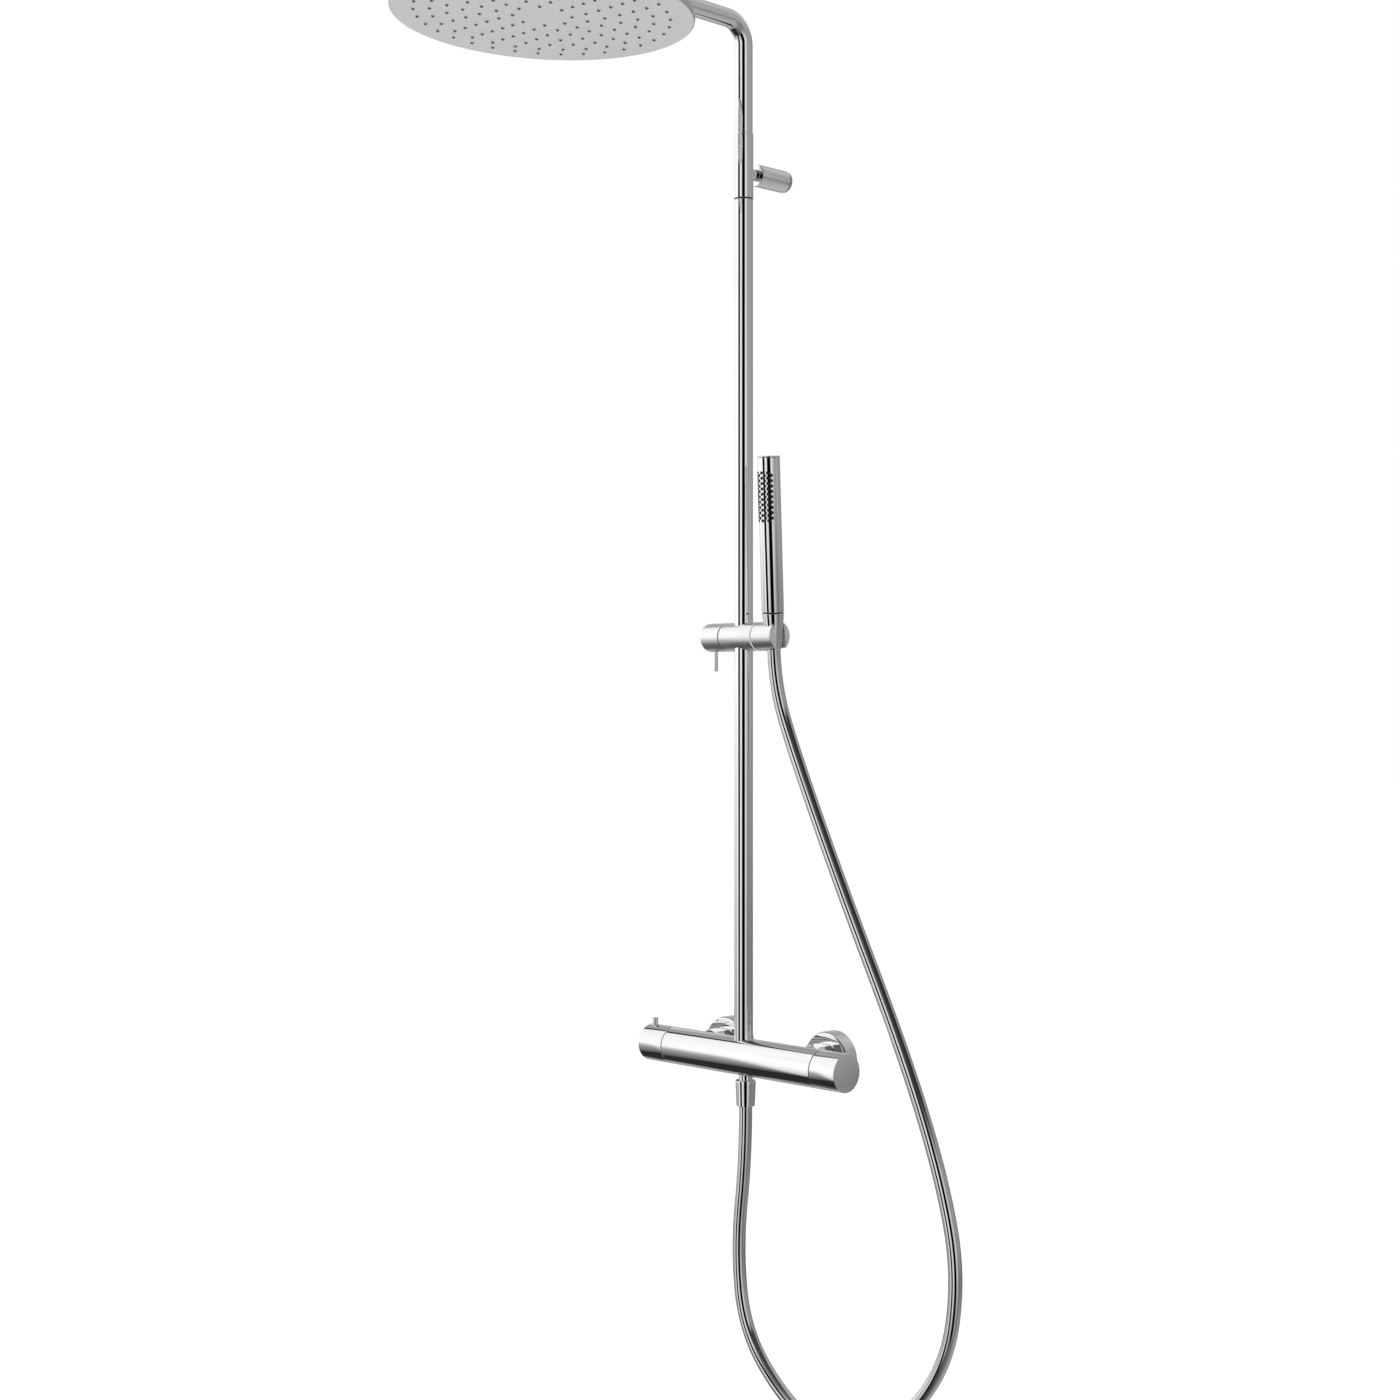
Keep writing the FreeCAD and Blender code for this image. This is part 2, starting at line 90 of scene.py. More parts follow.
# ------------------------------------------------------------------ camera
VIEW_AZIMUTH = 0.796         # radians to the right of straight on
VIEW_DISTANCE = 2.288        # from the eye to the riser, along the view
RISER_RIGHT = 0.0464         # how far right of the picture's middle the riser stands
EYE_HEIGHT = 0.379           # above the bar's axis
LENS = 55.35                 # millimetres, with a sensor 36 mm wide
SENSOR_WIDTH = 36.0

TO_EYE = Vector((math.sin(VIEW_AZIMUTH), -math.cos(VIEW_AZIMUTH), 0))
EYE_RIGHT = Vector((math.cos(VIEW_AZIMUTH), math.sin(VIEW_AZIMUTH), 0))


def make_camera():
    data = bpy.data.cameras.new("camera")
    data.lens = LENS
    data.sensor_width = SENSOR_WIDTH
    data.dof.use_dof = False
    camera = bpy.data.objects.new("camera", data)
    place = Vector((AXIS_X, AXIS_Y, 0)) + TO_EYE * VIEW_DISTANCE - EYE_RIGHT * RISER_RIGHT
    camera.location = place + Z * EYE_HEIGHT
    camera.rotation_euler = (math.pi / 2, 0, VIEW_AZIMUTH)
    scene.collection.objects.link(camera)
    scene.camera = camera


# ------------------------------------------------------------------ material helpers
class Nodes:
    """A new material's node tree, with short calls to add nodes and links."""

    def __init__(self, name):
        self.material = bpy.data.materials.new(name)
        self.material.use_nodes = True
        self.tree = self.material.node_tree
        self.shader = self.tree.nodes["Principled BSDF"]

    def add(self, kind, **values):
        node = self.tree.nodes.new(kind)
        for key, value in values.items():
            setattr(node, key, value)
        return node

    def link(self, source, target):
        self.tree.links.new(source, target)

    def noise(self, coords, scale, detail=3.0, stretch=(1, 1, 1)):
        mapping = self.add("ShaderNodeMapping")
        mapping.inputs["Scale"].default_value = stretch
        self.link(coords, mapping.inputs["Vector"])
        noise = self.add("ShaderNodeTexNoise")
        noise.inputs["Scale"].default_value = scale
        noise.inputs["Detail"].default_value = detail
        self.link(mapping.outputs["Vector"], noise.inputs["Vector"])
        return noise.outputs["Fac"]

    def ramp(self, factor, stops):
        ramp = self.add("ShaderNodeValToRGB")
        fill_ramp(ramp.color_ramp, stops)
        self.link(factor, ramp.inputs["Fac"])
        return ramp.outputs["Color"]

    def spread(self, factor, low, high):
        """Noise turned into numbers between low and high."""
        node = self.add("ShaderNodeMapRange")
        node.inputs["From Min"].default_value = 0.3
        node.inputs["From Max"].default_value = 0.7
        node.inputs["To Min"].default_value = low
        node.inputs["To Max"].default_value = high
        self.link(factor, node.inputs["Value"])
        return node.outputs["Result"]

    def bump(self, height, strength, distance):
        node = self.add("ShaderNodeBump")
        node.inputs["Strength"].default_value = strength
        node.inputs["Distance"].default_value = distance
        self.link(height, node.inputs["Height"])
        self.link(node.outputs["Normal"], self.shader.inputs["Normal"])
        return node


def fill_ramp(ramp, stops):
    """Stops are (place, grey level or colour)."""
    while len(ramp.elements) > 1:
        ramp.elements.remove(ramp.elements[-1])
    for i, (place, value) in enumerate(stops):
        element = ramp.elements[0] if i == 0 else ramp.elements.new(place)
        element.position = place
        element.color = (*value, 1) if isinstance(value, tuple) else (value, value, value, 1)


def metal(name, tint, smooth, rough, ripple, stretch=(1, 1, 1), grain=900.0, metallic=1.0):
    """Plated or brushed metal: faint tone drift, wiped-on smudges and a fine surface ripple."""
    m = Nodes(name)
    coords = m.add("ShaderNodeTexCoord").outputs["Object"]
    drift = m.noise(coords, 9.0, 2.0)
    dark = tuple(c * 0.96 for c in tint)
    m.link(m.ramp(drift, [(0.3, dark), (0.7, tint)]), m.shader.inputs["Base Color"])
    smudge = m.noise(coords, 55.0, 5.0, stretch)
    m.link(m.spread(smudge, smooth, rough), m.shader.inputs["Roughness"])
    m.shader.inputs["Metallic"].default_value = metallic
    m.bump(m.noise(coords, grain, 2.0, stretch), ripple, 0.00002)
    return m.material


def plastic(name, colour, smooth, rough, grain, bump=0.25):
    """Moulded plastic or rubber with a slight tone drift and a fine moulded texture."""
    m = Nodes(name)
    coords = m.add("ShaderNodeTexCoord").outputs["Object"]
    drift = m.noise(coords, 40.0, 3.0)
    darker = tuple(c * 0.85 for c in colour)
    m.link(m.ramp(drift, [(0.3, darker), (0.7, colour)]), m.shader.inputs["Base Color"])
    m.link(m.spread(m.noise(coords, 200.0), smooth, rough), m.shader.inputs["Roughness"])
    m.bump(m.noise(coords, grain, 2.0), bump, 0.00004)
    return m.material


def hose_skin():
    """Silver foil wound under a clear skin: fine slanted windings and fine flecks."""
    m = Nodes("hose_skin")
    uv = m.add("ShaderNodeUVMap", uv_map="along").outputs["UV"]
    split = m.add("ShaderNodeSeparateXYZ")
    m.link(uv, split.inputs["Vector"])
    wind = m.add("ShaderNodeTexWave", wave_type="BANDS", bands_direction="DIAGONAL", wave_profile="SIN")
    wind.inputs["Scale"].default_value = 1.0
    mapping = m.add("ShaderNodeMapping")
    mapping.inputs["Scale"].default_value = (6.0, 260.0, 1.0)
    m.link(uv, mapping.inputs["Vector"])
    m.link(mapping.outputs["Vector"], wind.inputs["Vector"])
    fleck = m.noise(uv, 1.0, 3.0, (90.0, 900.0, 1.0))
    tone = m.add("ShaderNodeMix", data_type="FLOAT")
    tone.inputs["Factor"].default_value = 0.5
    m.link(wind.outputs["Fac"], tone.inputs["A"])
    m.link(fleck, tone.inputs["B"])
    colour = m.ramp(tone.outputs["Result"], [(0.25, (0.62, 0.62, 0.63)), (0.7, (0.78, 0.78, 0.79))])
    m.link(colour, m.shader.inputs["Base Color"])
    m.link(m.spread(fleck, 0.02, 0.05), m.shader.inputs["Roughness"])
    m.shader.inputs["Metallic"].default_value = 1.0
    m.shader.inputs["Coat Weight"].default_value = 0.3
    m.shader.inputs["Coat Roughness"].default_value = 0.04
    m.bump(wind.outputs["Fac"], 0.03, 0.00012)
    return m.material


CHROME = metal("chrome", (0.865, 0.865, 0.87), 0.010, 0.030, 0.006)
SATIN = metal("satin_chrome", (0.93, 0.93, 0.93), 0.29, 0.34, 0.06, (1, 6, 6), 1400.0, 0.95)
FACE = metal("face_satin", (0.80, 0.80, 0.80), 0.34, 0.38, 0.10, (1, 1, 1), 1600.0, 0.5)
BRASS = metal("brass", (0.72, 0.56, 0.28), 0.22, 0.40, 0.4, (1, 8, 1))
STEEL = metal("zinc_steel", (0.55, 0.56, 0.58), 0.30, 0.45, 0.4)
HOSE = hose_skin()
BLACK = plastic("black_rubber", (0.012, 0.012, 0.013), 0.45, 0.6, 2500.0)
SILICONE = plastic("grey_silicone", (0.05, 0.05, 0.052), 0.35, 0.5, 2500.0)
# painted shade: a near-black finish for the flat seam faces, standing in for the shade deep in the gaps
# between parts
SEAM_SHADE_PAINT = metal("painted_seam_shade", (0.03, 0.03, 0.032), 0.45, 0.6, 0.3, (1, 1, 1), 900.0, 0.6)
NYLON = plastic("grey_plastic", (0.86, 0.86, 0.85), 0.35, 0.5, 1800.0)

FINISHES = {
    "chrome": CHROME, "satin_chrome": SATIN, "face_satin": FACE, "brass": BRASS, "steel": STEEL,
    "hose_skin": HOSE, "black_rubber": BLACK, "grey_silicone": SILICONE, "grey_plastic": NYLON,
}
SLOT_OF = {s["node"]: s["material_slot"] for s in frame["record"]["subparts"]}


# ------------------------------------------------------------------ mesh helpers
def shade_smooth(mesh, sharp):
    """Smooth shading that keeps the edges over this many degrees crisp."""
    mesh.polygons.foreach_set("use_smooth", [True] * len(mesh.polygons))
    mesh.set_sharp_from_angle(angle=math.radians(sharp))


def link_mesh(name, mesh, material, sharp=32.0):
    piece = bpy.data.objects.new(name, mesh)
    scene.collection.objects.link(piece)
    mesh.materials.clear()
    mesh.materials.append(material)
    shade_smooth(mesh, sharp)
    return piece


def rounded(corners, radius, steps=4):
    """An open outline of (radius, height) corners with each inner corner rounded."""
    points = [Vector(c) for c in corners]
    out = [points[0]]
    for before, corner, after in zip(points, points[1:], points[2:]):
        a, b = before - corner, after - corner
        reach = min(radius, a.length * 0.45, b.length * 0.45)
        p0 = corner + a.normalized() * reach
        p2 = corner + b.normalized() * reach
        for k in range(steps + 1):
            t = k / steps
            out.append(p0 * (1 - t) ** 2 + corner * 2 * t * (1 - t) + p2 * t ** 2)
    out.append(points[-1])
    return out


def stand(origin, axis):
    """Matrix that puts something made about Z on another axis."""
    return Matrix.Translation(origin) @ Z.rotation_difference(axis).to_matrix().to_4x4()


def lathe_into(bm, outline, matrix, count):
    """Turn an outline of (radius, height) in metres; a point on the axis becomes one vertex."""
    rings = []
    for r, h in outline:
        if r < 1e-7:
            rings.append([bm.verts.new(matrix @ Vector((0, 0, h)))])
            continue
        turn = [2 * math.pi * k / count for k in range(count)]
        rings.append([bm.verts.new(matrix @ Vector((r * math.cos(a), r * math.sin(a), h))) for a in turn])
    for low, high in zip(rings, rings[1:]):
        for k in range(count):
            n = (k + 1) % count
            if len(low) == 1 and len(high) > 1:
                bm.faces.new((low[0], high[n], high[k]))
            elif len(high) == 1 and len(low) > 1:
                bm.faces.new((low[k], low[n], high[0]))
            elif len(low) > 1:
                bm.faces.new((low[k], low[n], high[n], high[k]))


def finish_mesh(bm, name):
    """Turn a bmesh into a mesh with its faces pointing outward."""
    bmesh.ops.recalc_face_normals(bm, faces=bm.faces)
    mesh = bpy.data.meshes.new(name)
    bm.to_mesh(mesh)
    bm.free()
    return mesh


def turned(name, outlines, origin, axis, material, count=128):
    """One piece made of one or more turned outlines, each (radius, height) in millimetres."""
    bm = bmesh.new()
    matrix = stand(Vector(origin), axis)
    for outline in outlines:
        lathe_into(bm, [(p[0] * MM, p[1] * MM) for p in outline], matrix, count)
    return link_mesh(name, finish_mesh(bm, name), material)


def swap(piece, body, *nodes):
    """The piece takes the place of CAD nodes and rides on their body."""
    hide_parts(*nodes)
    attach(piece, body)
    return piece


def cut_with(piece, tools):
    """Boolean cuts, applied at once."""
    for tool in tools:
        modifier = piece.modifiers.new("cut", "BOOLEAN")
        modifier.operation = "DIFFERENCE"
        modifier.solver = "EXACT"
        modifier.object = tool
    graph = bpy.context.evaluated_depsgraph_get()
    mesh = bpy.data.meshes.new_from_object(piece.evaluated_get(graph))
    piece.modifiers.clear()
    piece.data = mesh
    for tool in tools:
        bpy.data.objects.remove(tool)
    shade_smooth(mesh, 32.0)


def tube_along(name, path, radius, material, count=48, ends=True):
    """A round tube through close points, with a map of turns and metres for its texture."""
    bm = bmesh.new()
    layer = bm.loops.layers.uv.new("along")
    tangents = []
    for i in range(len(path)):
        before, after = path[max(i - 1, 0)], path[min(i + 1, len(path) - 1)]
        tangents.append((after - before).normalized())
    side = tangents[0].orthogonal().normalized()
    rings, metres = [], [0.0]
    for i, (point, tangent) in enumerate(zip(path, tangents)):
        side = (side - tangent * side.dot(tangent)).normalized()
        other = tangent.cross(side)
        ring = []
        for k in range(count):
            a = 2 * math.pi * k / count
            ring.append(bm.verts.new(point + (side * math.cos(a) + other * math.sin(a)) * radius))
        rings.append(ring)
        if i:
            metres.append(metres[-1] + (point - path[i - 1]).length)
    for i in range(len(rings) - 1):
        for k in range(count):
            n = (k + 1) % count
            face = bm.faces.new((rings[i][k], rings[i][n], rings[i + 1][n], rings[i + 1][k]))
            turns = (k / count, (k + 1) / count, (k + 1) / count, k / count)
            lengths = (metres[i], metres[i], metres[i + 1], metres[i + 1])
            for loop, u, v in zip(face.loops, turns, lengths):
                loop[layer].uv = (u, v)
    if ends:
        bm.faces.new(rings[0])
        bm.faces.new(rings[-1])
    return link_mesh(name, finish_mesh(bm, name), material, 60.0)


# ------------------------------------------------------------------ hose
HOSE_RADIUS = 0.007
HOSE_IN_CONE = 0.008     # metres of hose inside the cone
HOSE_TO_BEND = 0.120     # metres from its end in the cone to the lower end of the bending piece
HOSE_ROUTE = [
    (0.0030, -0.0640, -0.0517),
    (0.0030, -0.0640, -0.1058),
    (-0.0097, -0.0640, -0.2028),
    (0.0016, -0.0640, -0.2922),
    (0.0634, -0.0640, -0.3544),
    (0.1348, -0.0640, -0.3801),
    (0.2061, -0.0640, -0.3492),
    (0.2753, -0.0640, -0.2729),
    (0.2896, -0.0620, -0.1806),
    (0.2689, -0.0600, -0.0939),
    (0.2203, -0.0570, 0.0192),
    (0.1328, -0.0540, 0.1820),
    (0.0632, -0.0540, 0.3262),
    (0.0400, -0.0578, 0.3943),
    (0.0430, -0.0624, 0.4324),
]


def smooth_line(points, resolution):
    """Close points read from a quadratic spline with the given control points."""
    curve = bpy.data.curves.new("route", "CURVE")
    curve.dimensions = "3D"
    spline = curve.splines.new("NURBS")
    spline.points.add(len(points) - 1)
    for target, point in zip(spline.points, points):
        target.co = (*point, 1)
    spline.order_u = 3
    spline.use_endpoint_u = True
    spline.resolution_u = resolution
    holder = bpy.data.objects.new("route", curve)
    scene.collection.objects.link(holder)
    graph = bpy.context.evaluated_depsgraph_get()
    mesh = bpy.data.meshes.new_from_object(holder.evaluated_get(graph))
    line = [v.co.copy() for v in mesh.vertices]
    bpy.data.objects.remove(holder)
    bpy.data.curves.remove(curve)
    return line


def make_hose():
    """The hose in three lengths: the end in the cone, the piece that bends below it, and the rest."""
    line = smooth_line(HOSE_ROUTE, 32)
    total = sum((b - a).length for a, b in zip(line, line[1:]))
    marks, run = [], 0.0
    for a, b in zip(line, line[1:]):
        run += (b - a).length
        marks.append(total - run)
    first = next(i for i, left in enumerate(marks) if left < HOSE_TO_BEND) + 1
    second = next(i for i, left in enumerate(marks) if left < HOSE_IN_CONE) + 1
    main = tube_along("hose", line[:first + 1], HOSE_RADIUS, HOSE)
    neck = tube_along("hose_neck", line[first:second + 1], HOSE_RADIUS, HOSE, ends=False)
    root = tube_along("hose_in_cone", line[second:], HOSE_RADIUS, HOSE, ends=False)
    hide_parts("hose_tube")
    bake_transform(main)
    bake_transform(neck)
    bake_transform(root)


# ------------------------------------------------------------------ mixer bar
INLET_X = 0.075          # half of the 150 mm between the two inlets
KNOB_HOLLOW = 17.5       # radius of the hollow in each knob, millimetres


def make_mixer():
    low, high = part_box("mixer_body")
    r = (high.z - low.z) / 2 / MM
    left, right = low.x / MM, high.x / MM
    bar = [(15.2, left), (r, left), (r, right), (15.2, right)]
    body = turned("mixer_body_skin", [rounded(bar, 0.35)], (0, AXIS_Y, 0), X, CHROME, 160)
    swap(body, "column", "mixer_body")
    for side in (-INLET_X, INLET_X):
        boss = [(12.0, 12.0), (12.0, 27.9), (13.0, 28.0), (13.0, 30.0), (7.7, 30.0), (7.7, 20.0)]
        piece = turned("inlet_boss", [rounded(boss, 0.3)], (side, AXIS_Y, 0), Y, CHROME, 64)
        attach(piece, "column")


def make_knobs():
    low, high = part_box("diverter_knob")
    r = (high.z - low.z) / 2 / MM
    outer, inner = low.x / MM, high.x / MM
    shape = [(0, outer), (r, outer), (r, inner), (KNOB_HOLLOW, inner), (KNOB_HOLLOW, outer + 4)]
    knob = turned("flow_knob", [rounded(shape, 1.0, 6)], (0, AXIS_Y, 0), X, CHROME, 160)
    swap(knob, "diverter", "diverter_knob")

    pin_low, pin_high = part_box("diverter_pin")
    pin_x = (pin_low.x + pin_high.x) / 2
    top = pin_high.z / MM
    shape = rounded([(3.15, 15.0), (3.15, top), (0, top)], 0.5, 5)
    swap(turned("flow_pin", [shape], (pin_x, AXIS_Y, 0), Z, CHROME, 64), "diverter", "diverter_pin")

    low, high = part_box("temperature_knob")
    inner, outer = low.x / MM, high.x / MM
    shape = [(KNOB_HOLLOW, outer - 4), (KNOB_HOLLOW, inner), (r, inner), (r, outer), (0, outer)]
    knob = turned("heat_knob", [rounded(shape, 0.5, 5)], (0, AXIS_Y, 0), X, CHROME, 160)
    swap(knob, "temperature", "temperature_knob")


def make_escutcheons():
    for name in ("escutcheon_left", "escutcheon_right"):
        low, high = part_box(name)
        x = (low.x + high.x) / 2
        r = (high.x - low.x) / 2 / MM
        deep = (high.y - low.y) / MM
        hole, wall = 13.6, 1.6
        shape = [(hole, deep - wall), (hole, deep), (r - 1.2, deep), (r, deep - 1.8), (r, 0)]
        shape += [(r - wall, 0), (r - wall, deep - wall), (hole, deep - wall)]
        skin = turned(name + "_skin", [rounded(shape, 0.9, 6)], (x, high.y, 0), -Y, CHROME, 128)
        swap(skin, "column", name)


# ------------------------------------------------------------------ riser, collar, bracket, arm
def make_riser():
    low, high = riser_low.z / MM, riser_high.z / MM
    shape = rounded([(9.0, low), (10.0, low), (10.0, high), (9.0, high)], 0.3)
    swap(turned("riser_skin", [shape], (AXIS_X, AXIS_Y, 0), Z, CHROME, 128), "column", "riser_tube")
    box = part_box("bracket_collar")
    low, high = box[0].z / MM, box[1].z / MM
    bore, r = 9.65, 10.3
    shape = [(bore, low + 2), (bore, low), (r, low), (r, high), (bore, high), (bore, high - 4)]
    collar = turned("collar_skin", [rounded(shape, 0.25)], (AXIS_X, AXIS_Y, 0), Z, CHROME, 128)
    swap(collar, "column", "bracket_collar")


def make_bracket():
    low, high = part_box("bracket_sleeve")
    z = (low.z + high.z) / 2
    near, far = (low.y - AXIS_Y) / MM, (high.y - AXIS_Y) / MM
    r = (high.x - low.x) / 2 / MM
    shape = [(6.0, near + 3), (6.0, near), (r, near), (r, far - 1.2)]
    shape += [(r - 0.9, far), (10.4, far), (10.4, near + 3)]
    skin = turned("bracket_skin", [rounded(shape, 0.6, 5)], (0, AXIS_Y, z), Y, CHROME, 128)
    swap(skin, "column", "bracket_sleeve")
    shape = [(6.0, 8.5), (6.0, near + 3.0), (9.0, near + 3.0), (9.0, near + 5.5), (0, near + 5.5)]
    neck = turned("bracket_neck_skin", [rounded(shape, 0.3)], (0, AXIS_Y, z), Y, CHROME, 96)
    swap(neck, "column", "bracket_spigot")


ARM_RADIUS = 0.0096
ARM_BENDS = (0.025, 0.022)       # centre line radii of the bend over the riser and of the outer one
ARM_END_ABOVE_BALL = 0.011


def arm_line():
    """Centre line of the arm: up, over and down, with its two round bends."""
    low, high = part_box("overhead_arm")
    top = high.z - ARM_RADIUS
    foot, end = Vector((0, AXIS_Y, low.z)), Vector((0, BALL.y, BALL.z + ARM_END_ABOVE_BALL))
    corners = [foot, Vector((0, AXIS_Y, top)), Vector((0, BALL.y, top)), end]
    line = [foot]
    for bend, before, corner, after in zip(ARM_BENDS, corners, corners[1:], corners[2:]):
        d0, d1 = (corner - before).normalized(), (after - corner).normalized()
        centre = corner - d0 * bend + d1 * bend
        for k in range(41):
            a = math.pi / 2 * k / 40
            line.append(centre - d1 * bend * math.cos(a) + d0 * bend * math.sin(a))
    line.append(end)
    return line


def make_arm():
    arm = tube_along("arm_skin", arm_line(), ARM_RADIUS, CHROME, 96, ends=False)
    swap(arm, "arm", "overhead_arm")
    ball_radius = 9.0
    ball = [(2.5, -8.6)]
    for k in range(17):
        a = math.radians(-72 + k * 128 / 16)
        ball.append((ball_radius * math.cos(a), ball_radius * math.sin(a)))
    ball += [(5.0, 8.9), (9.5, 9.0), (9.5, 11.0), (8.6, 11.0), (8.6, 14.5), (0, 14.5)]
    swap(turned("ball_skin", [ball], BALL, Z, CHROME, 96), "arm", "swivel_ball")


# ------------------------------------------------------------------ rain head
# Each ring of nozzles: its radius in millimetres and how many it holds.
NOZZLE_RINGS = ((125.0, 33), (109.0, 28), (93.0, 24), (77.0, 20), (61.0, 16), (45.0, 12), (29.0, 8))
HEAD_RADIUS = 148.8
HEAD_FACE, HEAD_TOP = -18.0, -10.0       # heights measured from the centre of the ball


def make_head():
    """Shell, nut and face, with the nozzles and their rims. All outlines are about the ball."""
    r, face, top = HEAD_RADIUS, HEAD_FACE, HEAD_TOP
    shape = [(0, -14.0), (0, -9.35), (3.5, -8.7), (12.3, -3.6), (12.3, -6.5), (14.0, -6.5)]
    shape += [(15.5, top + 0.8), (17.5, top), (r - 1.4, top), (r, top - 1.6), (r, face + 0.9)]
    shape += [(r - 0.9, face), (147.6, face), (147.6, face + 0.8)]
    shell = turned("head_skin", [rounded(shape, 0.5, 4)], BALL, HEAD_NORMAL, CHROME, 256)
    swap(shell, "rain_head", "head_shell")

    shape = [(12.3, -3.4), (12.3, -6.3), (13.8, -6.3), (13.8, 5.0)]
    shape += [(8.1, 5.0), (8.9, 3.2), (11.2, 3.2), (11.2, -3.4)]
    nut = turned("head_nut_skin", [rounded(shape, 0.5, 5)], BALL, HEAD_NORMAL, CHROME, 96)
    swap(nut, "rain_head", "head_nut")

    shape = [(147.5, face + 0.9), (147.5, face), (0, face)]
    plate = turned("head_face_skin", [shape], BALL, HEAD_NORMAL, FACE, 256)
    swap(plate, "rain_head", "head_face")
    make_head_nozzles()


def make_head_nozzles():
    """A hollow rubber nub and a plated rim at every hole of the face."""
    face = HEAD_FACE
    nub = [(1.15, face), (1.1, face - 1.2), (0.9, face - 1.5)]
    nub += [(0.45, face - 1.5), (0.4, face - 0.6), (0, face - 0.6)]
    rim = [(2.3, face + 0.02), (2.2, face - 0.45), (1.85, face - 0.75)]
    rim += [(1.4, face - 0.75), (1.15, face - 0.3)]
    head = stand(BALL, HEAD_NORMAL)

    bm, rims = bmesh.new(), bmesh.new()
    for ring, count in NOZZLE_RINGS:
        for k in range(count):
            a = 2 * math.pi * k / count
            place = Vector((ring * math.cos(a), ring * math.sin(a), 0)) * MM
            spot = head @ Matrix.Translation(place)
            lathe_into(bm, [(p[0] * MM, p[1] * MM) for p in nub], spot, 14)
            lathe_into(rims, [(p[0] * MM, p[1] * MM) for p in rim], spot, 20)
    nubs = link_mesh("head_nozzles", finish_mesh(bm, "head_nozzles"), SILICONE)
    swap(nubs, "rain_head", "nozzle_mat")
    collars = link_mesh("nozzle_rims", finish_mesh(rims, "nozzle_rims"), CHROME)
    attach(collars, "rain_head")


# ------------------------------------------------------------------ slider, lock and holder
def rod(origin, axis, radius, length, count=96):
    """A plain closed rod, used only to cut with."""
    shape = [(0, 0), (radius, 0), (radius, length), (0, length)]
    return turned("cutter", [shape], origin, axis, CHROME, count)


SLIDER_HOLE = 10.12              # radius of the hole that the riser passes through, millimetres
CONE_SLACK = 0.15                # room round the cone in the fork, millimetres
SLOT_SIZE = (0.030, 0.015, 0.056)        # metres, in directions that stand on the handset's axis
SLOT_MIDDLE = (0.015, 0, -0.022)         # metres from the seam, in the same directions


def paint_seam_shade(piece, *heights):
    """The flat ends that face each other across a seam get a near-black finish: painted shade for the
    deep gap between the parts.
    """
    flat_enough, near_enough = 0.95, 0.0002
    piece.data.materials.append(SEAM_SHADE_PAINT)
    for face in piece.data.polygons:
        flat = abs(face.normal.x) > flat_enough
        if flat and any(abs(face.center.x - h * MM) < near_enough for h in heights):
            face.material_index = 1


def make_slider():
    r = (slider_high.z - slider_low.z) / 2 / MM
    low, high = slider_low.x / MM, slider_high.x / MM
    centre = Vector((0, AXIS_Y, SLIDER_Z))
    shape = rounded([(0, low), (r, low), (r, high), (0, high)], 0.25, 4)
    body = turned("slider_skin", [shape], centre, X, SATIN, 160)
    cut_with(body, [rod(centre - Z * 0.03, Z, SLIDER_HOLE, 60)])
    # painted shade on both flat ends of the slider, where its seams are
    paint_seam_shade(body, low, high)
    swap(body, "slider", "slider_body")

    low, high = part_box("lock_knob")
    a, b = low.x / MM, high.x / MM
    shape = rounded([(0, a), (r, a), (r, b - 6)], 5.0, 12)[:-1] + [(r, b - 0.25), (r - 0.25, b), (3.8, b)]
    knob = turned("lock_skin", [shape], centre, X, SATIN, 160)
    # painted shade on the lock knob's flat end at its seam
    paint_seam_shade(knob, b)
    swap(knob, "lock", "lock_knob")

    low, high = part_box("lock_pin")
    pin_x = (low.x + high.x) / 2
    shape = rounded([(0, low.z / MM), (2.15, low.z / MM), (2.15, high.z / MM)], 0.4, 5)
    swap(turned("lock_pin_skin", [shape], (pin_x, AXIS_Y, 0), Z, CHROME, 64), "lock", "lock_pin")


def make_holder():
    low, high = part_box("holder_body")
    r = (slider_high.z - slider_low.z) / 2 / MM
    a, b = low.x / MM, high.x / MM
    centre = Vector((0, AXIS_Y, SLIDER_Z))
    shape = [(0, a), (r - 0.4, a), (r, a + 0.4)] + rounded([(r, a + 0.5), (r, b), (0, b)], 1.6, 8)[1:]
    body = turned("holder_skin", [shape], centre, X, SATIN, 160)
    bore = [(0, -50), (cone_radius(-50) + CONE_SLACK, -50), (cone_radius(6) + CONE_SLACK, 6), (0, 6)]
    cone = turned("cutter", [bore], SEAM, LEAN, CHROME, 96)
    bm = bmesh.new()
    bmesh.ops.create_cube(bm, size=1.0)
    size = Matrix.Diagonal((*SLOT_SIZE, 1))
    bm.transform(stand(SEAM, LEAN) @ Matrix.Translation(SLOT_MIDDLE) @ size)
    slot = link_mesh("cutter", finish_mesh(bm, "cutter"), CHROME)
    cut_with(body, [cone, slot])
    # painted shade on the holder's flat end at its seam
    paint_seam_shade(body, a)
    swap(body, "holder", "holder_body")


# ------------------------------------------------------------------ handset
HAND_RADIUS, HAND_LENGTH = 11.6, 163.6
HAND_BORE = 9.6
CONE_FOOT_RADIUS, CONE_LENGTH = 8.1, 38.0


def cone_radius(t):
    """Radius of the hose cone at a height above the seam; heights in it are negative."""
    return HAND_RADIUS + (HAND_RADIUS - CONE_FOOT_RADIUS) * t / CONE_LENGTH


